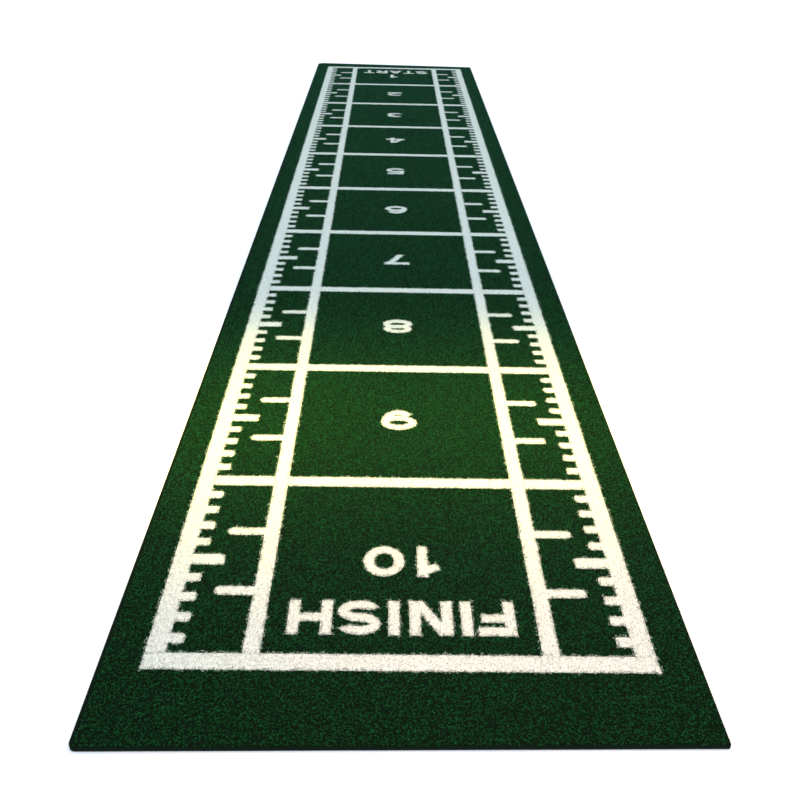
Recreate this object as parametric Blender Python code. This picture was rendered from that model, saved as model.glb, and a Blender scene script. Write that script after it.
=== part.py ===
"""A marked artificial-turf practice mat: a green pile field on a rubber underlay, with white turf
markings let into it. Metres, +Z up. The origin is under the middle of the mat, on the floor.
The finish end is at -Y and the start end at +Y. Marks read upright from the start end."""

import math
from collections import Counter
from itertools import islice

import bmesh
import bpy
import numpy as np
from mathutils import Vector
from mathutils.geometry import delaunay_2d_cdt

# Outline of the mat
MAT_WIDTH = 2.0
CELL_COUNT = 10
CELL_LENGTH = 1.0
FINISH_MARGIN = 0.34  # from the finish line's centre to the mat's edge, at the left side
START_MARGIN = 0.26  # from the start line's centre to the mat's edge, at the left side
FINISH_SKEW = 0.026  # how much narrower the finish margin is at the right side, as cut by hand
START_SKEW = 0.080  # how much narrower the start margin is at the right side
FINISH_LEFT_RADIUS = 0.020
FINISH_RIGHT_RADIUS = 0.004
START_LEFT_RADIUS = 0.060
START_RIGHT_RADIUS = 0.004

# Layers, from the floor up
UNDERLAY_THICKNESS = 0.0030
BACKING_THICKNESS = 0.0015
CLOTH_THICKNESS = 0.0008
PILE_HEIGHT = 0.0120
LAYER_GAP = 0.0003

# White lines
FRAME_HALF_WIDTH = 0.86  # from the middle of the mat to the outer edge of a side rule
RULE_WIDTH = 0.070
RAIL_CENTRE = 0.5055
RAIL_WIDTH = 0.059
END_LINE_WIDTH = 0.070
BAR_WIDTH = 0.066

# Ticks, all measured outwards from the edge of the strip that they belong to
TICKS_PER_CELL = 10
TICK_LENGTH = 0.052
TICK_WIDTH = 0.045
TICK_RADIUS = 0.010  # of the corners at the free end of every tick on a rule
HALF_TICK_LENGTH = 0.124
HALF_TICK_WIDTH = 0.058
RAIL_TICKS_PER_CELL = 3
RAIL_TICK_LENGTH = 0.144
RAIL_TICK_WIDTH = 0.044
RAIL_TICK_RADIUS = 0.018

# Words and numbers
LETTER_HEIGHT = 0.165
DIGIT_HEIGHT = 0.170
LETTER_STROKE = 0.040
DIGIT_STROKE = 0.040
FINISH_GAPS = [0.019, 0.029, 0.034, 0.026, 0.019]  # from letter to letter, set by eye
START_GAPS = [0.022, 0.022, 0.022, 0.022]
TEN_GAP = [0.048]
FINISH_WORD_OFFSET = 0.206  # from the finish line's centre to the word's centre
START_WORD_OFFSET = 0.240  # from the start line's centre to the word's centre
FINISH_WORD_SHIFT = 0.0025  # to the right of the mat's middle
START_WORD_SHIFT = 0.018
TEN_SHIFT = 0.011
CHARACTER_WIDTHS = {
    "F": 0.134, "I": 0.040, "N": 0.153, "S": 0.153, "H": 0.155, "T": 0.130, "A": 0.160,
    "R": 0.145, "0": 0.156, "1": 0.100, "2": 0.165, "3": 0.165, "4": 0.175, "5": 0.165,
    "6": 0.170, "7": 0.165, "8": 0.170, "9": 0.170,
}

# Fits and fineness
INLAY_CLEARANCE = 0.0003  # all round each white inlay and under it
CUTTER_OVERRUN = 0.002  # how far the pocket cutter stands above the pile
ARC_STEP = 18  # degrees
CORNER_STEPS = 5
TICK_CORNER_STEPS = 3
WELD_DISTANCE = 1e-6

# Worked out from the values above
UNDERLAY_TOP = UNDERLAY_THICKNESS
BACKING_BOTTOM = UNDERLAY_TOP + LAYER_GAP
BACKING_TOP = BACKING_BOTTOM + BACKING_THICKNESS
FIELD_BOTTOM = BACKING_TOP + LAYER_GAP
POCKET_FLOOR = FIELD_BOTTOM + CLOTH_THICKNESS
FIELD_TOP = POCKET_FLOOR + PILE_HEIGHT
MARKED_LENGTH = CELL_COUNT * CELL_LENGTH
MAT_LENGTH = MARKED_LENGTH + FINISH_MARGIN + START_MARGIN
FINISH_Y = -MAT_LENGTH / 2 + FINISH_MARGIN
START_Y = MAT_LENGTH / 2 - START_MARGIN
RULE_CENTRE = FRAME_HALF_WIDTH - RULE_WIDTH / 2
RAIL_OUTER = RAIL_CENTRE + RAIL_WIDTH / 2
RAIL_INNER = RAIL_CENTRE - RAIL_WIDTH / 2
RULE_INNER = FRAME_HALF_WIDTH - RULE_WIDTH

GREEN_PILE = ("green_pile", (0.010, 0.045, 0.016), 0.85)
WHITE_PILE = ("white_pile", (0.860, 0.840, 0.740), 0.80)
LATEX = ("latex_backing", (0.120, 0.115, 0.105), 0.70)
RUBBER = ("black_rubber", (0.012, 0.012, 0.013), 0.75)


def clear_scene():
    for obj in list(bpy.data.objects):
        bpy.data.objects.remove(obj, do_unlink=True)


def material(finish):
    name, colour, roughness = finish
    made = bpy.data.materials.get(name)
    if made is None:
        made = bpy.data.materials.new(name)
        made.use_nodes = True
        shader = made.node_tree.nodes["Principled BSDF"]
        shader.inputs["Base Color"].default_value = (*colour, 1.0)
        shader.inputs["Roughness"].default_value = roughness
        shader.inputs["Metallic"].default_value = 0.0
    return made


def covered(places, polygons):
    """For each place, whether one of the outlines, all convex and anticlockwise, holds it."""
    found = np.zeros(len(places), bool)
    for polygon in polygons:
        corners = np.array(polygon)
        sides = np.roll(corners, -1, axis=0) - corners
        offsets = places[:, None] - corners
        turns = sides[:, 0] * offsets[:, :, 1] - sides[:, 1] * offsets[:, :, 0]
        found |= (turns > 0).all(axis=1)
    return found


def covered_triangles(points, edges, loops, polygons):
    """The triangles between these points that lie inside one of the outlines."""
    points, _, triangles, *_ = delaunay_2d_cdt(points, edges, loops, 0, WELD_DISTANCE)
    places = np.array(points)[np.array(triangles)].mean(axis=1)
    return points, [corners for corners, inside in zip(triangles, covered(places, polygons)) if inside]


def union(polygons):
    """Points and triangles of the area that the outlines cover together, with none inside it."""
    points = [Vector(point) for polygon in polygons for point in polygon]
    indices = iter(range(len(points)))
    loops = [list(islice(indices, len(polygon))) for polygon in polygons]
    points, triangles = covered_triangles(points, [], loops, polygons)
    uses = Counter(
        tuple(sorted(edge)) for corners in triangles for edge in zip(corners, corners[1:] + corners[:1])
    )
    border = [edge for edge, count in uses.items() if count == 1]
    kept = sorted({index for edge in border for index in edge})
    order = {index: place for place, index in enumerate(kept)}
    edges = [(order[start], order[end]) for start, end in border]
    return covered_triangles([points[index] for index in kept], edges, [], polygons)


def plate(name, polygons, bottom, top, finish):
    """One flat solid from outlines that may overlap, from bottom to top."""
    points, triangles = union(polygons)
    shape = bmesh.new()
    verts = [shape.verts.new((*point, bottom)) for point in points]
    for corners in triangles:
        shape.faces.new([verts[index] for index in corners])
    raised = bmesh.ops.extrude_face_region(shape, geom=shape.faces[:])
    lifted = [item for item in raised["geom"] if isinstance(item, bmesh.types.BMVert)]
    bmesh.ops.translate(shape, verts=lifted, vec=(0, 0, top - bottom))
    bmesh.ops.recalc_face_normals(shape, faces=shape.faces)
    mesh = bpy.data.meshes.new(name)
    shape.to_mesh(mesh)
    shape.free()
    mesh.materials.append(material(finish))
    obj = bpy.data.objects.new(name, mesh)
    bpy.context.scene.collection.objects.link(obj)
    return obj


# Outlines


def rectangle(x_low, x_high, y_low, y_high, grow=0.0):
    return [
        (x_low - grow, y_low - grow),
        (x_high + grow, y_low - grow),
        (x_high + grow, y_high + grow),
        (x_low - grow, y_high + grow),
    ]


def tick_outline(root, free, y, width, radius, grow):
    """A short mark with a square root, which its strip covers, and round corners at its free end."""
    way = math.copysign(1, free - root)
    points = [(root, y - width / 2 - grow)]
    for lift, start in ((-1, -90), (1, 0)):
        for step in range(TICK_CORNER_STEPS + 1):
            angle = math.radians(start + 90 * step / TICK_CORNER_STEPS)
            reach = way * ((radius + grow) * math.cos(angle) - radius)
            rise = lift * (width / 2 - radius) + (radius + grow) * math.sin(angle)
            points.append((free + reach, y + rise))
    points.append((root, y + width / 2 + grow))
    return points if way > 0 else points[::-1]


def mat_outline():
    """The mat's outline, anticlockwise, with its own radius and its own length at each corner."""
    half_width = MAT_WIDTH / 2
    half_length = MAT_LENGTH / 2
    corners = [
        (-1, -1, 0.0, FINISH_LEFT_RADIUS, math.pi),
        (1, -1, FINISH_SKEW, FINISH_RIGHT_RADIUS, math.pi * 3 / 2),
        (1, 1, START_SKEW, START_RIGHT_RADIUS, 0.0),
        (-1, 1, 0.0, START_LEFT_RADIUS, math.pi / 2),
    ]
    points = []
    for side_x, side_y, skew, radius, start in corners:
        centre_x = side_x * (half_width - radius)
        centre_y = side_y * (half_length - skew - radius)
        for step in range(CORNER_STEPS + 1):
            angle = start + step / CORNER_STEPS * math.pi / 2
            points.append((centre_x + radius * math.cos(angle), centre_y + radius * math.sin(angle)))
    return points


def bar(start, end, width, grow, cap=0.0):
    """A straight stroke along a centre line, with square ends that may reach past its points."""
    first = Vector(start)
    last = Vector(end)
    along = (last - first).normalized()
    across = along.orthogonal() * (width / 2 + grow)
    first = first - along * (cap + grow)
    last = last + along * (cap + grow)
    return [first - across, last - across, last + across, first + across]


def slant(foot, head, width, grow):
    """A leaning stroke whose two ends are cut level."""
    low = Vector(foot)
    high = Vector(head)
    along = (high - low) / (high.y - low.y)
    half = (width / 2 + grow) * along.length
    low = low - along * grow
    high = high + along * grow
    return [(low.x - half, low.y), (low.x + half, low.y), (high.x + half, high.y), (high.x - half, high.y)]


def bend(centre, radii, start, end, width, grow):
    """A curved stroke between two ellipses, from one angle to another in degrees, in short pieces."""
    steps = max(2, round((end - start) / ARC_STEP))
    half = width / 2 + grow
    angles = [math.radians(start + (end - start) * step / steps) for step in range(steps + 1)]
    rays = [Vector((math.cos(angle), math.sin(angle))) for angle in angles]
    middle = Vector(centre)
    inner = [middle + Vector(((radii[0] - half) * ray.x, (radii[1] - half) * ray.y)) for ray in rays]
    outer = [middle + Vector(((radii[0] + half) * ray.x, (radii[1] + half) * ray.y)) for ray in rays]
    if end - start < 360:
        for place, sign in ((0, -1), (-1, 1)):
            spare = (outer[place] - inner[place]).normalized().orthogonal() * grow * sign
            inner[place] = inner[place] + spare
            outer[place] = outer[place] + spare
    return [[inner[i], outer[i], outer[i + 1], inner[i + 1]] for i in range(steps)]


# Words and numbers: every character is drawn in a box, x to the right and y up


def character_shape(character, w, h, width, grow):
    """The pieces of one character, whose centre lines fill a box w wide and h high."""
    half = width / 2
    foot = -half
    head = h + half
    middle = h / 2

    def straight(start, end, cap=half):
        return [bar(start, end, width, grow, cap)]

    def leaning(start, end):
        return [slant(start, end, width, grow)]

    def curved(centre, radii, start=0, end=360):
        return bend(centre, radii, start, end, width, grow)

    lean = width * 0.12  # keeps the slanting stroke of an N inside its stems
    left_stem = straight((0, 0), (0, h))
    right_stem = straight((w, 0), (w, h))
    upper = ((w / 2, h * 0.76), (w * 0.46, h * 0.24))
    lower = ((w / 2, h * 0.28), (w / 2, h * 0.28))
    six_middle = (w / 2, h * 0.31)
    six = curved(six_middle, (w / 2, h * 0.31)) + curved(six_middle, (w / 2, h * 0.69), 42, 180)
    shapes = {
        "F": lambda: left_stem + straight((0, h), (w, h)) + straight((0, middle), (w * 0.86, middle)),
        "I": lambda: left_stem,
        "N": lambda: left_stem + right_stem + leaning((w - lean, foot), (lean, head)),
        "H": lambda: left_stem + right_stem + straight((0, middle), (w, middle)),
        "T": lambda: straight((0, h), (w, h)) + straight((w / 2, 0), (w / 2, h)),
        "A": lambda: leaning((0, foot), (w / 2, head))
        + leaning((w, foot), (w / 2, head))
        + straight((w * 0.2, h * 0.24), (w * 0.8, h * 0.24), 0),
        "R": lambda: left_stem
        + straight((0, h), (w - h / 4, h), 0)
        + straight((0, middle), (w - h / 4, middle), 0)
        + curved((w - h / 4, h * 0.75), (h / 4, h / 4), -90, 90)
        + leaning((w, foot), (w * 0.5, middle)),
        "S": lambda: curved((w / 2, h * 0.75), (w / 2, h / 4), 22, 270)
        + curved((w / 2, h * 0.25), (w / 2, h / 4), -158, 90),
        "0": lambda: curved((w / 2, middle), (w / 2, middle)),
        "1": lambda: right_stem + straight((0, h * 0.72), (w, h * 0.92), 0),
        "2": lambda: curved((w / 2, h * 0.68), (w / 2, h * 0.32), -46, 165)
        + straight((w * 0.847, h * 0.45), (w * 0.1, 0), 0)
        + straight((0, 0), (w, 0)),
        "3": lambda: curved(*upper, -90, 155) + curved(*lower, -158, 90),
        "4": lambda: straight((0, h * 0.26), (w, h * 0.26))
        + leaning((w * 0.04, h * 0.26), (w * 0.62, head))
        + straight((w * 0.7, 0), (w * 0.7, h)),
        "5": lambda: straight((w * 0.14, h), (w * 0.92, h))
        + leaning((w * 0.06, h * 0.40), (w * 0.14, head))
        + curved((w / 2, h * 0.31), (w / 2, h * 0.31), -158, 140),
        "6": lambda: six,
        "7": lambda: straight((0, h), (w, h)) + leaning((w * 0.28, foot), (w * 0.96, head)),
        "8": lambda: curved(*upper) + curved(*lower),
        "9": lambda: [[(w - x, h - y) for x, y in piece] for piece in six],
    }
    return shapes[character]()


def text_marks(names, text, centre, height, width, gaps=()):
    """One mark for each character of a word or number, with these gaps between them."""
    centre_x, centre_y = centre
    total = sum(CHARACTER_WIDTHS[c] for c in text) + sum(gaps)
    marks = {}
    left = -total / 2 - centre_x
    for name, character, gap in zip(names, text, [*gaps, 0.0]):
        box = (left + width / 2, CHARACTER_WIDTHS[character] - width, height - width)
        marks[name] = character_mark(character, box, centre_y, width)
        left += CHARACTER_WIDTHS[character] + gap
    return marks


def character_mark(character, box, centre_y, width):
    left, box_width, box_height = box

    def shape(grow):
        pieces = character_shape(character, box_width, box_height, width, grow)
        # Turned half round, because the mat reads from its start end.
        return [[(-x - left, centre_y + box_height / 2 - y) for x, y in piece] for piece in pieces]

    return shape


# Every mark is a function of how far its outline is grown: not at all for the white inlay, and by
# the clearance for the pocket that it sits in.


def rule_mark(side):
    """A long rule at the edge of the frame, with ten divisions in each cell on its inner side."""

    def shape(grow):
        pieces = [rule_body(side, grow)]
        for cell in range(CELL_COUNT):
            for tick in range(1, TICKS_PER_CELL):
                is_half = 2 * tick == TICKS_PER_CELL
                length = HALF_TICK_LENGTH if is_half else TICK_LENGTH
                width = HALF_TICK_WIDTH if is_half else TICK_WIDTH
                y = START_Y - (cell + tick / TICKS_PER_CELL) * CELL_LENGTH
                ends = (side * RULE_CENTRE, side * (RULE_INNER - length))
                pieces.append(tick_outline(*ends, y, width, TICK_RADIUS, grow))
        return pieces

    return shape


def rule_body(side, grow):
    ends = sorted((side * FRAME_HALF_WIDTH, side * RULE_INNER))
    clear = END_LINE_WIDTH / 2 + INLAY_CLEARANCE
    return rectangle(*ends, FINISH_Y + clear, START_Y - clear, grow)


def rail_mark(side):
    """An inner rail between the end lines, with marks at thirds of each cell on its outer side."""

    def shape(grow):
        ends = sorted((side * RAIL_INNER, side * RAIL_OUTER))
        clear = END_LINE_WIDTH / 2 + INLAY_CLEARANCE
        pieces = [rectangle(*ends, FINISH_Y + clear, START_Y - clear, grow)]
        for cell in range(CELL_COUNT):
            for tick in range(1, RAIL_TICKS_PER_CELL):
                y = START_Y - (cell + tick / RAIL_TICKS_PER_CELL) * CELL_LENGTH
                ends = (side * RAIL_CENTRE, side * (RAIL_OUTER + RAIL_TICK_LENGTH))
                pieces.append(tick_outline(*ends, y, RAIL_TICK_WIDTH, RAIL_TICK_RADIUS, grow))
        return pieces

    return shape


def strip_mark(x_low, x_high, y, width):
    return lambda grow: [rectangle(x_low, x_high, y - width / 2, y + width / 2, grow)]


def line_marks():
    """The frame, the rails, and the bars between the cells in three lengths each."""
    marks = {
        "start_line": strip_mark(-FRAME_HALF_WIDTH, FRAME_HALF_WIDTH, START_Y, END_LINE_WIDTH),
        "finish_line": strip_mark(-FRAME_HALF_WIDTH, FRAME_HALF_WIDTH, FINISH_Y, END_LINE_WIDTH),
        "left_rule": rule_mark(-1),
        "right_rule": rule_mark(1),
        "left_rail": rail_mark(-1),
        "right_rail": rail_mark(1),
    }
    inner = RAIL_INNER - INLAY_CLEARANCE
    lane_low = RAIL_OUTER + INLAY_CLEARANCE
    lane_high = RULE_INNER - INLAY_CLEARANCE
    for cell in range(1, CELL_COUNT):
        y = START_Y - cell * CELL_LENGTH
        marks[f"bar_{cell}_left"] = strip_mark(-lane_high, -lane_low, y, BAR_WIDTH)
        marks[f"bar_{cell}_centre"] = strip_mark(-inner, inner, y, BAR_WIDTH)
        marks[f"bar_{cell}_right"] = strip_mark(lane_low, lane_high, y, BAR_WIDTH)
    return marks


def word_marks():
    """START and FINISH inside the end lines, and the number of each cell in its middle."""
    start_names = ["start_S", "start_T_first", "start_A", "start_R", "start_T_last"]
    finish_names = ["finish_F", "finish_I_first", "finish_N", "finish_I_last", "finish_S", "finish_H"]
    start_word = (START_WORD_SHIFT, START_Y - START_WORD_OFFSET)
    finish_word = (FINISH_WORD_SHIFT, FINISH_Y + FINISH_WORD_OFFSET)
    marks = text_marks(start_names, "START", start_word, LETTER_HEIGHT, LETTER_STROKE, START_GAPS)
    marks |= text_marks(finish_names, "FINISH", finish_word, LETTER_HEIGHT, LETTER_STROKE, FINISH_GAPS)
    for cell in range(1, CELL_COUNT + 1):
        digits = str(cell)
        places = ("tens", "units")[-len(digits):]
        names = [f"number_{cell}" if len(digits) == 1 else f"number_{cell}_{place}" for place in places]
        middle = (0.0 if len(digits) == 1 else TEN_SHIFT, START_Y - (cell - 0.5) * CELL_LENGTH)
        gaps = [] if len(digits) == 1 else TEN_GAP
        marks |= text_marks(names, digits, middle, DIGIT_HEIGHT, DIGIT_STROKE, gaps)
    return marks


def build():
    clear_scene()
    outline = [mat_outline()]
    plate("rubber_underlay", outline, 0.0, UNDERLAY_TOP, RUBBER)
    plate("latex_backing", outline, BACKING_BOTTOM, BACKING_TOP, LATEX)
    field = plate("green_turf_field", outline, FIELD_BOTTOM, FIELD_TOP, GREEN_PILE)

    marks = line_marks() | word_marks()
    pockets = [piece for mark in marks.values() for piece in mark(INLAY_CLEARANCE)]
    cutter = plate("marking_pockets", pockets, POCKET_FLOOR, FIELD_TOP + CUTTER_OVERRUN, GREEN_PILE)
    cutter.hide_render = True
    cutter.display_type = "WIRE"
    cut = field.modifiers.new("pockets for the markings", "BOOLEAN")
    cut.operation = "DIFFERENCE"
    cut.solver = "EXACT"
    cut.object = cutter

    for name, mark in marks.items():
        plate(name, mark(0.0), POCKET_FLOOR + INLAY_CLEARANCE, FIELD_TOP, WHITE_PILE)


build()
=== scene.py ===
# %% [markdown]
# A marked turf practice mat, a little over ten metres of it: green cut pile on a woven cloth, white pile let
# into it for the lines, numbers and words, a latex coat and a black rubber underlay.
# The engineering model gives every size. This script makes what the eye sees: the yarn, the fuzzy edges of
# the white marks, the sheared top, and the dull layers that show along the cut edge.

# %% Load the fixed frame
import math

import bmesh
import bpy
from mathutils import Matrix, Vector


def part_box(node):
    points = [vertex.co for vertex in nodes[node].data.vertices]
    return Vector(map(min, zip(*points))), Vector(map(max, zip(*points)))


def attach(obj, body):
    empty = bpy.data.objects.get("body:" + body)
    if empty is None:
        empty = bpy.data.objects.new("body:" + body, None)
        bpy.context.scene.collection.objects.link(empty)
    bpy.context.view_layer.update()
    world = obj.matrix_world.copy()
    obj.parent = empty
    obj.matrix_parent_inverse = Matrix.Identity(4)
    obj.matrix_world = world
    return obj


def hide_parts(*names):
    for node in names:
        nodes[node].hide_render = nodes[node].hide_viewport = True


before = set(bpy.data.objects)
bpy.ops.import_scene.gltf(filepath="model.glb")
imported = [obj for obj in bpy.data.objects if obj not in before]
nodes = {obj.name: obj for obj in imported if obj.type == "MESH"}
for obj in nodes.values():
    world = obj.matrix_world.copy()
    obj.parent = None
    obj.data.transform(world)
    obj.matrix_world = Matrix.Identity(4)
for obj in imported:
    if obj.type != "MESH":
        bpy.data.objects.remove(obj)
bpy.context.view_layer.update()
mat_low, mat_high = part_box("green_turf_field")
PILE_TOP = mat_high.z
print("mat", [round(side, 4) for side in mat_high - mat_low], "from", len(nodes), "parts")

# %% [markdown]
# The camera comes first, because everything else is judged through it. It stands just past the finish end,
# as high as a raised arm reaches, and looks down the mat through a normal lens, so the long sides run
# together towards the start.

# %% Camera
scene = bpy.context.scene
camera = bpy.data.objects.new("camera", bpy.data.cameras.new("camera"))
scene.collection.objects.link(camera)
camera.data.lens = 39.69
camera.data.clip_end = 200
camera.location = (-0.0712, -7.0125, 2.2832)
camera.rotation_euler = [math.radians(angle) for angle in (58.751, -1.242, -0.448)]
scene.camera = camera
print("camera", [round(place, 3) for place in camera.location])

# %% [markdown]
# Colours are written as the sRGB hex codes that a maker picks from a swatch. Blender's shaders work in
# linear light, so one function turns a hex code into linear numbers. A second function adds a node to a
# tree, sets it and links it, and a third starts a material.


# %% Colour and node helpers
def linear(code):
    """An sRGB hex colour such as '#14301a' as linear red, green, blue and an alpha of 1."""
    parts = [int(code[place : place + 2], 16) / 255 for place in (1, 3, 5)]
    return (*[c / 12.92 if c <= 0.04045 else ((c + 0.055) / 1.055) ** 2.4 for c in parts], 1.0)


def add(tree, kind, inputs=None, **settings):
    """A new node of this kind with its settings, each input set to a value or linked to a socket."""
    made = tree.nodes.new(kind)
    for name, value in settings.items():
        setattr(made, name, value)
    for place, value in (inputs or {}).items():
        socket = made.inputs[place]
        if isinstance(value, bpy.types.NodeSocket):
            tree.links.new(value, socket)
        else:
            socket.default_value = value
    return made


def start_material(name, **uniform):
    """An empty material with these uniform values on its shader: the material, its tree, the shader, and
    the socket that gives Object coordinates in metres."""
    made = bpy.data.materials.new(name)
    made.use_nodes = True
    tree = made.node_tree
    tree.nodes.clear()
    values = {key.replace("_", " "): value for key, value in uniform.items()}
    shader = add(tree, "ShaderNodeBsdfPrincipled", values)
    add(tree, "ShaderNodeOutputMaterial", {"Surface": shader.outputs["BSDF"]})
    place = add(tree, "ShaderNodeTexCoord").outputs["Object"]
    return made, tree, shader, place


# Sockets of the Mix node in its colour mode.
MIX_SHARE, MIX_A, MIX_B, MIX_OUT = 0, 6, 7, 2


# %% [markdown]
# The yarn is polyethylene tape, slit into fine fibres, tufted and sheared level. The plastic gives a low
# sheen across the pile. Each tuft is turned a little differently to the light and takes the dye a little
# differently, so it has a tone of its own, which the mesh carries as an attribute from 0 to 1. Most tufts
# are near the dark tone and a few catch the light. A second attribute, the height up the tuft, darkens the
# foot, where little light gets in. Patches of a slightly other shade come next, as every long roll has them.
# Last comes painted light, laid on more and more along the roll. The green is painted cooler towards the
# start end, a painted sheen of pile seen at a grazing angle. The white is painted duller at the finish end,
# a painted shade where the lamps are strongest.

# %% Yarn: slit polyethylene tape, tufted and sheared
FIBRE_WIDTH = 0.0006  # one slit fibre, in metres
FIBRE_STRETCH = 0.12  # the fibre pattern is drawn out upwards, to this share of its frequency
FIBRE_SHARE = 0.3  # how much the fibres change a tuft's own tone
DRIFT_LENGTH = 1.3  # patches of a slightly other shade are this long, in metres
FOOT_SHADE_TOP = 0.8  # the foot's dark shade fades out at this share of a tuft's height


def yarn_material(name, foot, dark, light, drift, painted_light_tint, reach, flecks, **uniform):
    """Sheared yarn that goes from its foot colour up to a tone between dark and light. Drift tints the
    patches, a last tint of painted light or shade is laid on more and more along reach, and more flecks make
    pale tufts rarer."""
    made, tree, shader, place = start_material(name, **uniform)
    tone = add(tree, "ShaderNodeAttribute", attribute_name="tone").outputs["Fac"]
    height = add(tree, "ShaderNodeAttribute", attribute_name="height").outputs["Fac"]
    along = add(
        tree,
        "ShaderNodeMapping",
        {"Vector": place, "Scale": (1 / FIBRE_WIDTH, 1 / FIBRE_WIDTH, FIBRE_STRETCH / FIBRE_WIDTH)},
    ).outputs["Vector"]
    fibre = add(tree, "ShaderNodeTexNoise", {"Vector": along, "Scale": 1.0, "Detail": 1.0}).outputs["Fac"]
    blend = add(tree, "ShaderNodeMath", {0: fibre, 1: FIBRE_SHARE, 2: tone}, operation="MULTIPLY_ADD")
    even = add(
        tree,
        "ShaderNodeMapRange",
        {"Value": blend.outputs[0], "From Min": 0.1, "From Max": 1.2, "To Min": 0.0, "To Max": 1.0},
    ).outputs["Result"]
    spread = add(tree, "ShaderNodeMath", {0: even, 1: flecks}, operation="POWER").outputs[0]
    body = add(
        tree,
        "ShaderNodeMix",
        {MIX_SHARE: spread, MIX_A: linear(dark), MIX_B: linear(light)},
        data_type="RGBA",
    ).outputs[MIX_OUT]
    patches = add(tree, "ShaderNodeTexNoise", {"Vector": place, "Scale": 1 / DRIFT_LENGTH, "Detail": 2.0})
    drifted = add(
        tree,
        "ShaderNodeMix",
        {MIX_SHARE: patches.outputs["Fac"], MIX_A: body, MIX_B: linear(drift)},
        data_type="RGBA",
        blend_type="MULTIPLY",
    ).outputs[MIX_OUT]
    along_roll = add(
        tree,
        "ShaderNodeMapRange",
        {
            "Value": add(tree, "ShaderNodeSeparateXYZ", {0: place}).outputs["Y"],
            "From Min": reach[0],
            "From Max": reach[1],
            "To Min": 0.0,
            "To Max": 1.0,
        },
    ).outputs["Result"]
    # Painted light: a tint laid on more and more along the roll, cooler green towards the start end and
    # duller white at the finish end.
    with_painted_light = add(
        tree,
        "ShaderNodeMix",
        {MIX_SHARE: along_roll, MIX_A: drifted, MIX_B: linear(painted_light_tint)},
        data_type="RGBA",
        blend_type="MULTIPLY",
    ).outputs[MIX_OUT]
    rise = add(
        tree,
        "ShaderNodeMapRange",
        {"Value": height, "From Min": 0.0, "From Max": FOOT_SHADE_TOP, "To Min": 0.0, "To Max": 1.0},
    ).outputs["Result"]
    whole = add(
        tree,
        "ShaderNodeMix",
        {MIX_SHARE: rise, MIX_A: linear(foot), MIX_B: with_painted_light},
        data_type="RGBA",
    ).outputs[MIX_OUT]
    tree.links.new(whole, shader.inputs["Base Color"])
    return made


GREEN_YARN = yarn_material(
    "green_slit_polyethylene_sheared",
    foot="#060f07",
    dark="#0e2a1e",
    light="#2e7754",
    drift="#dce6dc",
    # Painted sheen: the green is cooler towards the start end, where the pile is seen at a grazing angle.
    painted_light_tint="#d8ffc2",
    reach=(5.3, -3.0),  # from the start end to the last cells, in metres along the mat
    flecks=1.35,
    Roughness=0.6,
    IOR=1.51,
    Specular_IOR_Level=0.08,
)
WHITE_YARN = yarn_material(
    "white_slit_polyethylene_sheared",
    foot="#d4d9d1",
    dark="#d5dad2",
    light="#d8ddd4",
    drift="#f6f8f8",
    # Painted shade: the white is duller over the last cells, where the lamps are strongest.
    painted_light_tint="#e4e3e6",
    reach=(-2.0, -4.9),  # only the last cells
    flecks=1.0,
    Roughness=0.6,
    IOR=1.51,
    Specular_IOR_Level=0.2,
)
print("yarns", GREEN_YARN.name, WHITE_YARN.name)

# %% [markdown]
# Between the tufts the eye looks down on their crowded feet. They are drawn as one closed body a few
# millimetres below the sheared top: the tufts' lower half has no shape of its own to see, only a dark,
# grainy depth. That darkness is painted shade: the feet are coloured far darker than the yarn itself.

# %% Pile foot: packed yarn on the primary cloth, darkened as painted shade
TUFT_GAUGE = 0.004  # from one row of feet to the next, in metres

made, tree, shader, place = start_material(
    "green_pile_foot_yarn_painted_shade", Roughness=0.9, IOR=1.5, Specular_IOR_Level=0.05
)
cells = add(tree, "ShaderNodeTexVoronoi", {"Vector": place, "Scale": 1 / TUFT_GAUGE}).outputs["Distance"]
# Painted shade: the feet are coloured far darker than the green yarn itself, for the depth between the
# tufts.
colour = add(
    tree,
    "ShaderNodeMix",
    {MIX_SHARE: cells, MIX_A: linear("#0b1e10"), MIX_B: linear("#050c06")},
    data_type="RGBA",
).outputs[MIX_OUT]
tree.links.new(colour, shader.inputs["Base Color"])
bump = add(tree, "ShaderNodeBump", {"Height": cells, "Distance": 0.001, "Strength": 0.6}, invert=True)
tree.links.new(bump.outputs["Normal"], shader.inputs["Normal"])
GREEN_FOOT = made

# %% [markdown]
# Two dull layers lie under the pile. A latex coat on open scrim locks the tufts, and it shows the scrim's
# weave through its skin. Real threads are some two and a half millimetres apart, too fine to show here, so
# they are drawn six times coarser. The underlay is bonded rubber crumb: black grains of one to three
# millimetres, pressed flat, with a few paler ones.

# %% Latex coat and bonded rubber
made, tree, shader, place = start_material(
    "latex_coat_on_woven_scrim", Roughness=0.8, IOR=1.52, Specular_IOR_Level=0.15
)
SCRIM_PITCH = math.tau * 0.0025  # from thread to thread as drawn, in metres
WAVE_SPEED = 20  # radians that a wave texture runs through in a metre, at a scale of 1
threads = []
for axis in ("X", "Y"):
    threads.append(
        add(
            tree,
            "ShaderNodeTexWave",
            {
                "Vector": place,
                "Scale": math.tau / SCRIM_PITCH / WAVE_SPEED,
                "Distortion": 0.6,
                "Detail": 1.0,
            },
            bands_direction=axis,
        ).outputs["Fac"]
    )
weave = add(tree, "ShaderNodeMath", {0: threads[0], 1: threads[1]}, operation="MAXIMUM").outputs[0]
colour = add(
    tree,
    "ShaderNodeMix",
    {MIX_SHARE: weave, MIX_A: linear("#141513"), MIX_B: linear("#22231f")},
    data_type="RGBA",
).outputs[MIX_OUT]
tree.links.new(colour, shader.inputs["Base Color"])
bump = add(tree, "ShaderNodeBump", {"Height": weave, "Distance": 0.0004, "Strength": 0.5})
tree.links.new(bump.outputs["Normal"], shader.inputs["Normal"])
LATEX = made

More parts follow.
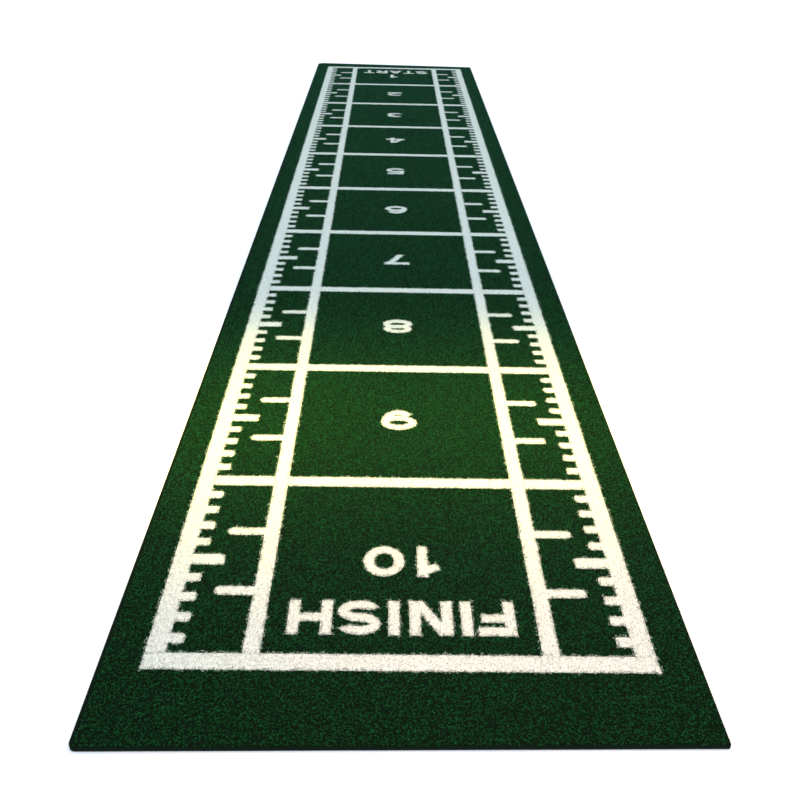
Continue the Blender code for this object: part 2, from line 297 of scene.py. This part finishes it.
made, tree, shader, place = start_material("bonded_rubber_crumb_pressed", IOR=1.52, Specular_IOR_Level=0.2)
CRUMB = 0.002  # one rubber grain, in metres
PALE_CRUMBS = 0.88  # past this share of the grains they turn paler
crumbs = add(tree, "ShaderNodeTexVoronoi", {"Vector": place, "Scale": 1 / CRUMB})
pale = add(
    tree,
    "ShaderNodeValToRGB",
    {"Fac": add(tree, "ShaderNodeSeparateColor", {"Color": crumbs.outputs["Color"]}).outputs["Red"]},
)
pale.color_ramp.elements[0].color = linear("#0b0c0c")
pale.color_ramp.elements[1].color = linear("#2c2e2f")
pale.color_ramp.elements.new(PALE_CRUMBS).color = linear("#121313")
tree.links.new(pale.outputs["Color"], shader.inputs["Base Color"])
shine = add(
    tree,
    "ShaderNodeMapRange",
    {"Value": crumbs.outputs["Distance"], "From Max": 0.8, "To Min": 0.62, "To Max": 0.9},
)
tree.links.new(shine.outputs["Result"], shader.inputs["Roughness"])
bump = add(
    tree,
    "ShaderNodeBump",
    {"Height": crumbs.outputs["Distance"], "Distance": 0.0005, "Strength": 0.6},
    invert=True,
)
tree.links.new(bump.outputs["Normal"], shader.inputs["Normal"])
RUBBER = made
print("layers", GREEN_FOOT.name, LATEX.name, RUBBER.name)

# %% [markdown]
# One tuft is three flat clumps of fibre that spread from a shared foot and are cut level at the top, so
# each clump is a triangle with its point down. It is drawn some four times coarser than the real yarn,
# which keeps a mat of this size to a mesh that a computer can hold, and it is still finer than a thumbnail.
# Its height goes from 0 at the foot to 1 at the cut, and its own flat map lets all tufts share one swatch.


# %% One tuft
CLUMPS = 3
CROWDED = 0.1  # a clump's foot stands out by this share of its reach
UNEVEN = 0.94  # one corner of each clump is cut a little lower, at this share of the rise


def tuft(name, foot_depth, rise, reach, width):
    """A hidden tuft that starts foot_depth below its origin, rises above it, spreads by reach and has
    clumps of this width at the cut."""
    shape = bmesh.new()
    up = shape.verts.layers.float.new("height")
    swatch = shape.loops.layers.uv.new("swatch")
    for clump in range(CLUMPS):
        turn = math.tau / CLUMPS * clump
        out = Vector((math.cos(turn), math.sin(turn), 0))
        side = Vector((-out.y, out.x, 0)) * (width / 2)
        foot = shape.verts.new(out * (reach * CROWDED) + Vector((0, 0, -foot_depth)))
        left = shape.verts.new(out * reach - side + Vector((0, 0, rise)))
        right = shape.verts.new(out * reach + side + Vector((0, 0, rise * UNEVEN)))
        foot[up], left[up], right[up] = 0.0, 1.0, 1.0
        face = shape.faces.new((foot, right, left))
        for loop, spot in zip(face.loops, ((0.01, 0.1), (0.02, 1.0), (0.0, 1.0))):
            loop[swatch].uv = spot
    mesh = bpy.data.meshes.new(name)
    shape.to_mesh(mesh)
    shape.free()
    held = bpy.data.objects.new(name, mesh)
    scene.collection.objects.link(held)
    held.hide_render = True
    return held


ROOT_DEPTH = 0.001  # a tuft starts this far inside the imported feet
FOOT_DROP = 0.0040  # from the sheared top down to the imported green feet
WHITE_DROP = 0.0018  # the same for the white yarn, which is packed closer
GREEN_TUFT = tuft("green_tuft_pattern", ROOT_DEPTH, FOOT_DROP, 0.0028, 0.0042)
WHITE_TUFT = tuft("white_tuft_pattern", ROOT_DEPTH, WHITE_DROP, 0.0024, 0.0038)
GREEN_FRINGE = tuft("green_fringe_pattern", ROOT_DEPTH, FOOT_DROP, 0.0044, 0.0034)
WHITE_FRINGE = tuft("white_fringe_pattern", ROOT_DEPTH, WHITE_DROP, 0.0034, 0.0030)
print("tuft", len(GREEN_TUFT.data.polygons), "clumps")

# %% [markdown]
# A tufting machine sets thousands of the same tuft, which is work for Geometry Nodes. The tree scatters
# points no closer than the spacing over the upward faces, stands a tuft on each, turns and tips it at
# random, gives it a tone, and leans the whole pile a little with the nap. Where green meets white, nothing
# holds the outermost tufts up, so they splay over the border: the edges that are marked for a fringe get a
# row of wider tufts. The same tree makes the green field and every white mark. It ends with real mesh,
# because instances would be lost in an export.

# %% The tufting tree
FRINGE_WANDER = 1.8  # how much farther the fringe wanders than the tufts behind it
LEVEL = 0.9  # a face whose normal rises at least this much counts as facing up
SMALLEST = (0.75, 0.75, 0.88)  # a tuft's least size, across and upwards
LARGEST = (1.3, 1.3, 1.08)
SIZE_SEED = 7
TONE_SEED = 11
SWATCH_WIDTH = 0.97  # the tones are spread over this share of the flat map's width
GROUND_SCALE = (0.2, 0.008, 0.0)  # from metres of mat to the small strip of flat map that the feet use
GROUND_CORNER = (0.5, 0.05, 0.0)
pile = bpy.data.node_groups.new("tufting", "GeometryNodeTree")
SIZES = (
    ("Spacing", "NodeSocketFloat", 0.006),
    ("Most per Square Metre", "NodeSocketFloat", 60000.0),
    ("Foot Level", "NodeSocketFloat", 0.0),
    ("Tip", "NodeSocketFloat", 0.2),
    ("Nap", "NodeSocketVector", (0.0, 0.0, 0.0)),
    ("Wander", "NodeSocketFloat", 0.02),
    ("Wander Length", "NodeSocketFloat", 0.012),
    ("Fringe Step", "NodeSocketFloat", 0.005),
    ("Seed", "NodeSocketInt", 1),
    ("Tuft", "NodeSocketObject", None),
    ("Fringe", "NodeSocketObject", None),
    ("Yarn", "NodeSocketMaterial", None),
    ("Ground", "NodeSocketBool", True),
)
pile.interface.new_socket("Geometry", in_out="OUTPUT", socket_type="NodeSocketGeometry")
pile.interface.new_socket("Geometry", in_out="INPUT", socket_type="NodeSocketGeometry")
for title, kind, value in SIZES:
    socket = pile.interface.new_socket(title, in_out="INPUT", socket_type=kind)
    if value is not None:
        socket.default_value = value
given = add(pile, "NodeGroupInput").outputs

facing = add(pile, "ShaderNodeSeparateXYZ", {0: add(pile, "GeometryNodeInputNormal").outputs[0]})
where = add(pile, "ShaderNodeSeparateXYZ", {0: add(pile, "GeometryNodeInputPosition").outputs[0]})
upward = add(pile, "FunctionNodeCompare", {0: facing.outputs["Z"], 1: LEVEL}, operation="GREATER_THAN")
high = add(
    pile, "FunctionNodeCompare", {0: where.outputs["Z"], 1: given["Foot Level"]}, operation="GREATER_THAN"
)
planted = add(
    pile, "FunctionNodeBooleanMath", {0: upward.outputs[0], 1: high.outputs[0]}, operation="AND"
)
points = add(
    pile,
    "GeometryNodeDistributePointsOnFaces",
    {
        "Mesh": given["Geometry"],
        "Selection": planted.outputs[0],
        "Distance Min": given["Spacing"],
        "Density Max": given["Most per Square Metre"],
        "Seed": given["Seed"],
    },
    distribute_method="POISSON",
)
spot = add(pile, "GeometryNodeInputPosition").outputs[0]
ripple = add(pile, "ShaderNodeMath", {0: 1.0, 1: given["Wander Length"]}, operation="DIVIDE").outputs[0]
drift = add(pile, "ShaderNodeTexNoise", {"Vector": spot, "Scale": ripple, "Detail": 1.0}).outputs["Color"]
centred = add(pile, "ShaderNodeVectorMath", {0: drift, 1: (0.5, 0.5, 0.5)}, operation="SUBTRACT")
level = add(
    pile, "ShaderNodeVectorMath", {0: centred.outputs[0], 1: (1.0, 1.0, 0.0)}, operation="MULTIPLY"
)
pushed = add(
    pile, "ShaderNodeVectorMath", {0: level.outputs[0], "Scale": given["Wander"]}, operation="SCALE"
)
marked = add(pile, "GeometryNodeInputNamedAttribute", {"Name": "fringe"}, data_type="BOOLEAN").outputs[0]
border = add(pile, "GeometryNodeMeshToCurve", {"Mesh": given["Geometry"], "Selection": marked})
beads = add(
    pile,
    "GeometryNodeCurveToPoints",
    {"Curve": border.outputs[0], "Length": given["Fringe Step"]},
    mode="LENGTH",
)
tip = given["Tip"]
untip = add(pile, "ShaderNodeMath", {0: tip, 1: -1.0}, operation="MULTIPLY").outputs[0]
least = add(pile, "ShaderNodeCombineXYZ", {"X": untip, "Y": untip, "Z": 0.0})
most = add(pile, "ShaderNodeCombineXYZ", {"X": tip, "Y": tip, "Z": math.tau})
turned = add(
    pile,
    "FunctionNodeRandomValue",
    {0: least.outputs[0], 1: most.outputs[0], "Seed": given["Seed"]},
    data_type="FLOAT_VECTOR",
)
grown = add(
    pile,
    "FunctionNodeRandomValue",
    {0: SMALLEST, 1: LARGEST, "Seed": SIZE_SEED},
    data_type="FLOAT_VECTOR",
)
stood = add(pile, "GeometryNodeJoinGeometry")
for places, pattern, times in ((points, "Tuft", 1.0), (beads, "Fringe", FRINGE_WANDER)):
    shape = add(pile, "GeometryNodeObjectInfo", {"Object": given[pattern]}, transform_space="ORIGINAL")
    way = add(pile, "ShaderNodeVectorMath", {0: pushed.outputs[0], "Scale": times}, operation="SCALE")
    held = add(
        pile,
        "GeometryNodeSetPosition",
        {"Geometry": places.outputs["Points"], "Offset": way.outputs[0]},
    )
    row = add(
        pile,
        "GeometryNodeInstanceOnPoints",
        {
            "Points": held.outputs[0],
            "Instance": shape.outputs["Geometry"],
            "Rotation": turned.outputs["Value"],
            "Scale": grown.outputs["Value"],
        },
    )
    pile.links.new(row.outputs[0], stood.inputs[0])
tone = add(pile, "FunctionNodeRandomValue", {2: 0.0, 3: 1.0, "Seed": TONE_SEED}, data_type="FLOAT")
toned = add(
    pile,
    "GeometryNodeStoreNamedAttribute",
    {"Geometry": stood.outputs[0], "Name": "tone", "Value": tone.outputs[1]},
    data_type="FLOAT",
    domain="INSTANCE",
)
real = add(pile, "GeometryNodeRealizeInstances", {"Geometry": toned.outputs[0]})
above = add(pile, "ShaderNodeMath", {0: where.outputs["Z"], 1: given["Foot Level"]}, operation="SUBTRACT")
lean = add(
    pile, "ShaderNodeVectorMath", {0: given["Nap"], "Scale": above.outputs[0]}, operation="SCALE"
)
leant = add(pile, "GeometryNodeSetPosition", {"Geometry": real.outputs[0], "Offset": lean.outputs[0]})
swatch = add(pile, "GeometryNodeInputNamedAttribute", {"Name": "swatch"}, data_type="FLOAT_VECTOR")
own = add(pile, "GeometryNodeInputNamedAttribute", {"Name": "tone"}, data_type="FLOAT")
across = add(pile, "ShaderNodeMath", {0: own.outputs[0], 1: SWATCH_WIDTH}, operation="MULTIPLY").outputs[0]
moved = add(
    pile,
    "ShaderNodeVectorMath",
    {0: swatch.outputs[0], 1: add(pile, "ShaderNodeCombineXYZ", {"X": across}).outputs[0]},
    operation="ADD",
)
mapped = add(
    pile,
    "GeometryNodeStoreNamedAttribute",
    {"Geometry": leant.outputs[0], "Name": "OFBake", "Value": moved.outputs[0]},
    data_type="FLOAT2",
    domain="CORNER",
)
tidied = add(pile, "GeometryNodeRemoveAttribute", {"Geometry": mapped.outputs[0], "Name": "swatch"})
flat = add(
    pile,
    "ShaderNodeVectorMath",
    {0: add(pile, "GeometryNodeInputPosition").outputs[0], 1: GROUND_SCALE, 2: GROUND_CORNER},
    operation="MULTIPLY_ADD",
)
ground = add(
    pile,
    "GeometryNodeStoreNamedAttribute",
    {"Geometry": given["Geometry"], "Name": "OFBake", "Value": flat.outputs[0]},
    data_type="FLOAT2",
    domain="CORNER",
)
kept = add(
    pile,
    "GeometryNodeSwitch",
    {"Switch": given["Ground"], "True": ground.outputs[0]},
    input_type="GEOMETRY",
)
whole = add(pile, "GeometryNodeJoinGeometry")
pile.links.new(kept.outputs[0], whole.inputs[0])
pile.links.new(tidied.outputs[0], whole.inputs[0])
dyed = add(pile, "GeometryNodeSetMaterial", {"Geometry": whole.outputs[0], "Material": given["Yarn"]})
add(pile, "NodeGroupOutput", {"Geometry": dyed.outputs[0]})
print("tufting tree", len(pile.nodes), "nodes")


# %% [markdown]
# The helpers below copy a part of the engineering model as a joined mesh, run the tree over it, and keep the
# result as a plain mesh that rides on the frame.


# %% Helpers for pieces
SAME_PLACE = 0.00002  # corners closer than this are one corner, in metres
HAIR = 0.0001  # a tenth of a millimetre, for telling levels apart
SLACK = 0.0005  # the same for levels that tufts stand on
BARE_SIDE = 0.1  # no mark comes this close to a long side of the mat
BARE_END = 0.15  # or this close to an end


def joined_copy(node, drop=0.0):
    """A copy of a node with its loose triangles joined, and its highest level lowered by drop."""
    shape = bmesh.new()
    shape.from_mesh(nodes[node].data)
    bmesh.ops.remove_doubles(shape, verts=shape.verts, dist=SAME_PLACE)
    top = max(vert.co.z for vert in shape.verts)
    for vert in shape.verts:
        if vert.co.z > top - HAIR:
            vert.co.z -= drop
    return shape


def mark_fringe(shape):
    """Marks the edges of the upward faces where green meets white, and returns their length in metres."""
    layer = shape.edges.layers.int.new("fringe")
    length = 0.0
    for edge in shape.edges:
        upward_faces = [face for face in edge.link_faces if face.normal.z > LEVEL]
        middle = (edge.verts[0].co + edge.verts[1].co) / 2
        inside = abs(middle.x) < mat_high.x - BARE_SIDE and abs(middle.y) < mat_high.y - BARE_END
        if len(upward_faces) == 1 and middle.z > PILE_TOP - FOOT_DROP - SLACK and inside:
            edge[layer] = 1
            length += edge.calc_length()
    return length


def stand(name, shape):
    """A new object at the origin that holds this bmesh, which is then freed."""
    mesh = bpy.data.meshes.new(name)
    shape.to_mesh(mesh)
    shape.free()
    made = bpy.data.objects.new(name, mesh)
    scene.collection.objects.link(made)
    return made


def tufted(name, shape, **values):
    """The piece that the tufting tree makes of this bmesh, with the tree's named inputs set."""
    source = stand(name + "_source", shape)
    modifier = source.modifiers.new("tufting", "NODES")
    modifier.node_group = pile
    for item in pile.interface.items_tree:
        if item.in_out == "INPUT" and item.name in values:
            modifier[item.identifier] = values[item.name]
    graph = bpy.context.evaluated_depsgraph_get()
    mesh = bpy.data.meshes.new_from_object(source.evaluated_get(graph), depsgraph=graph)
    mesh.name = name
    piece = bpy.data.objects.new(name, mesh)
    scene.collection.objects.link(piece)
    spare = source.data
    bpy.data.objects.remove(source)
    bpy.data.meshes.remove(spare)
    return piece


def triangles(piece):
    """How many triangles the piece has."""
    return sum(len(face.vertices) - 2 for face in piece.data.polygons)


# %% [markdown]
# Each white mark is its own inlay: a rule with its ticks, a rail, a cross bar, a letter or a numeral. Its
# tufts stand a little closer than the green ones, so that no green shows through, and those at the border
# tip over it. That is what makes the fuzzy outline of a mark in cut pile, where a printed one is sharp.

# %% White marks
LAYERS = ("rubber_underlay", "latex_backing", "green_turf_field")
NAP = (0.02, 0.12, 0.0)  # metres of lean for each metre of height
TIP = 0.35  # a tuft leans up to this far from upright, in radians
marks = sorted(set(nodes) - set(LAYERS))
border_length = 0.0
for number, node in enumerate(marks):
    mark = joined_copy(node, WHITE_DROP)
    border_length += mark_fringe(mark)
    piece = tufted(
        node + "_pile",
        mark,
        **{
            "Spacing": 0.0046,
            "Most per Square Metre": 90000.0,
            "Foot Level": PILE_TOP - WHITE_DROP - SLACK,
            "Tip": TIP,
            "Nap": NAP,
            "Seed": 100 + number,
            "Tuft": WHITE_TUFT,
            "Fringe": WHITE_FRINGE,
            "Yarn": WHITE_YARN,
            "Ground": True,
        },
    )
    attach(piece, "root")
    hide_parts(node)
print("borders between green and white", round(border_length), "m")

# %% [markdown]
# The green field is one cloth, but its tufts are made in strips across it, so that no one mesh is too heavy
# to edit. The outermost rows were shaved when the mat was cut to size, so a narrow rim with no tufts slopes
# up to the cut edge there, dark with the feet's painted shade: wider on the left side, where the cutter
# wandered. Both ends are cut a little out of square, and the rim follows them.

# %% Green field
RIM_LEFT = 0.014  # the shaved rim at the left side, in metres
RIM = 0.004  # and at the other sides
RIM_RISE = 0.9  # the rim's outer edge comes this share of the way back up to the sheared top
STRIPS = 11
foot_level = PILE_TOP - FOOT_DROP


def is_top(face):
    """Whether this face is part of the pile's top, and not of the floor of a pocket."""
    return face.normal.z > LEVEL and face.calc_center_median().z > foot_level - 2 * SLACK


field = joined_copy("green_turf_field", FOOT_DROP)
cover = field.copy()
bmesh.ops.delete(cover, geom=[face for face in cover.faces if not is_top(face)], context="FACES")
mark_fringe(cover)


def cut(shape, at, facing):
    """Takes away what lies beyond the plane through at, on the side it faces."""
    every = [*shape.verts, *shape.edges, *shape.faces]
    bmesh.ops.bisect_plane(shape, geom=every, plane_co=at, plane_no=facing, clear_outer=True)


rims = [((mat_low.x + RIM_LEFT, 0, 0), (-1, 0, 0)), ((mat_high.x - RIM, 0, 0), (1, 0, 0))]
for end in (-1, 1):
    left_y, right_y = [
        end * max(end * vert.co.y for vert in field.verts if side * vert.co.x > mat_high.x - BARE_SIDE)
        for side in (-1, 1)
    ]
    across = (right_y - left_y) / (mat_high.x - mat_low.x)
    rims.append(((0, (left_y + right_y) / 2 - end * RIM, 0), (-end * across, end, 0)))
    print("end", end, "out of square by", round(abs(right_y - left_y), 3), "m")
for at, facing in rims:
    cut(cover, at, facing)
    every = [*field.verts, *field.edges, *field.faces]
    bmesh.ops.bisect_plane(field, geom=every, plane_co=at, plane_no=facing)
for vert in field.verts:
    outside = any((vert.co - Vector(at)).dot(Vector(facing)) > 2 * HAIR for at, facing in rims)
    if outside and vert.co.z > foot_level - HAIR:
        vert.co.z += RIM_RISE * FOOT_DROP

step = (mat_high.y - mat_low.y) / STRIPS
for strip in range(STRIPS):
    part = cover.copy()
    cut(part, (0, mat_low.y + strip * step, 0), (0, -1, 0))
    cut(part, (0, mat_low.y + (strip + 1) * step, 0), (0, 1, 0))
    piece = tufted(
        f"green_pile_strip_{strip + 1:02d}",
        part,
        **{
            "Spacing": 0.0051,
            "Most per Square Metre": 75000.0,
            "Foot Level": foot_level - SLACK,
            "Tip": TIP,
            "Nap": NAP,
            "Seed": 20 + strip,
            "Tuft": GREEN_TUFT,
            "Fringe": GREEN_FRINGE,
            "Yarn": GREEN_YARN,
            "Ground": False,
        },
    )
    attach(piece, "root")
cover.free()
ground = stand("green_pile_ground", field)
ground.data.materials.append(GREEN_FOOT)
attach(ground, "root")
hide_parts("green_turf_field")

# %% [markdown]
# The two layers below keep the model's outline. A long blade never cuts rubber quite straight, so the cut
# edges are divided and moved in and out by a few tenths of a millimetre.

# %% Latex coat and rubber underlay
EDGE_STEP = 0.03  # from one point of the cut edge to the next, in metres
EDGE_WANDER = 0.0005  # how far the cut strays inwards
NEAR_SIDE = 0.05  # corners this close to a long side lie on its cut edge
NEAR_END = 0.1  # and this close to an end, which is out of square


def cut_layer(name, node, material, seed):
    """A flat layer of the mat with a hand-cut edge."""
    shape = joined_copy(node)
    top = max(vert.co.z for vert in shape.verts)
    low = min(vert.co.z for vert in shape.verts)
    bmesh.ops.dissolve_limit(shape, angle_limit=0.01, verts=shape.verts, edges=shape.edges)
    for edge in [edge for edge in shape.edges if edge.calc_length() > 2 * EDGE_STEP]:
        count = int(edge.calc_length() / EDGE_STEP)
        bmesh.ops.subdivide_edges(shape, edges=[edge], cuts=count)
    for vert in shape.verts:
        wave = math.sin(vert.co.y * 7.3 + seed) + math.sin(vert.co.x * 11.9 + vert.co.y * 23.7 + 2 * seed)
        inward = EDGE_WANDER * (1 + wave / 2) / 2
        if abs(vert.co.x) > mat_high.x - NEAR_SIDE:
            vert.co.x -= math.copysign(inward, vert.co.x)
        if abs(vert.co.y) > mat_high.y - NEAR_END:
            vert.co.y -= math.copysign(inward, vert.co.y)
    bmesh.ops.triangulate(shape, faces=shape.faces)
    bmesh.ops.recalc_face_normals(shape, faces=shape.faces)
    piece = stand(name, shape)
    piece.data.materials.append(material)
    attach(piece, "root")
    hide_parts(node)
    print(name, "from", round(low, 4), "to", round(top, 4), "m, triangles", triangles(piece))
    return piece


latex = cut_layer("latex_coat_sheet", "latex_backing", LATEX, 1)
rubber = cut_layer("rubber_underlay_sheet", "rubber_underlay", RUBBER, 2)

# %% [markdown]
# All three layers are sheets, cut flat to the size of the mat and laid on each other.

# %% [markdown]
# A plain pale floor and soft light. The sky is an even white, a little cool. Warm lamps hang over the finish
# end: a wide one over the last cell, and a row of three narrow ones across the cell before it, the left one
# strongest. So the mat is brightest and warmest there and goes cooler towards the start.

# %% Floor and light
made, tree, shader, place = start_material("pale_studio_floor", Roughness=0.9)
shader.inputs["Base Color"].default_value = linear("#fdfdfd")
FLOOR_REACH = 60.0  # metres on each side, so that its edge is never seen
floor_shape = bmesh.new()
bmesh.ops.create_grid(floor_shape, x_segments=1, y_segments=1, size=FLOOR_REACH)
floor = stand("floor", floor_shape)
floor.data.materials.append(made)

world = bpy.data.worlds.new("studio")
world.use_nodes = True
sky = world.node_tree.nodes["Background"].inputs
sky["Color"].default_value = (0.89, 1.0, 1.12, 1.0)
sky["Strength"].default_value = 1.24
scene.world = world

LAMP_HEIGHT = 3.0
LAMP_RADIUS = 0.5  # a large lamp makes soft shadows
LAMPS = (
    # name, watts, colour, cone in degrees, place across and along the mat
    ("wide_lamp", 320, (1.0, 0.52, 0.2), 75, 0.4, -4.3),
    ("middle_lamp", 442, (1.0, 0.8, 0.14), 49, 0.0, -3.43),
    ("left_lamp", 875, (1.0, 0.8, 0.14), 38, -0.85, -3.5),
    ("right_lamp", 576, (1.0, 0.8, 0.14), 38, 0.85, -3.43),
)
for name, watts, colour, cone, across, along in LAMPS:
    lamp = bpy.data.objects.new(name, bpy.data.lights.new(name, "SPOT"))
    lamp.data.energy = watts
    lamp.data.color = colour
    lamp.data.spot_size = math.radians(cone)
    lamp.data.spot_blend = 1.0
    lamp.data.shadow_soft_size = LAMP_RADIUS
    lamp.location = (across, along, LAMP_HEIGHT)
    scene.collection.objects.link(lamp)
scene.view_settings.view_transform = "Standard"
print("lamps", [lamp[0] for lamp in LAMPS])
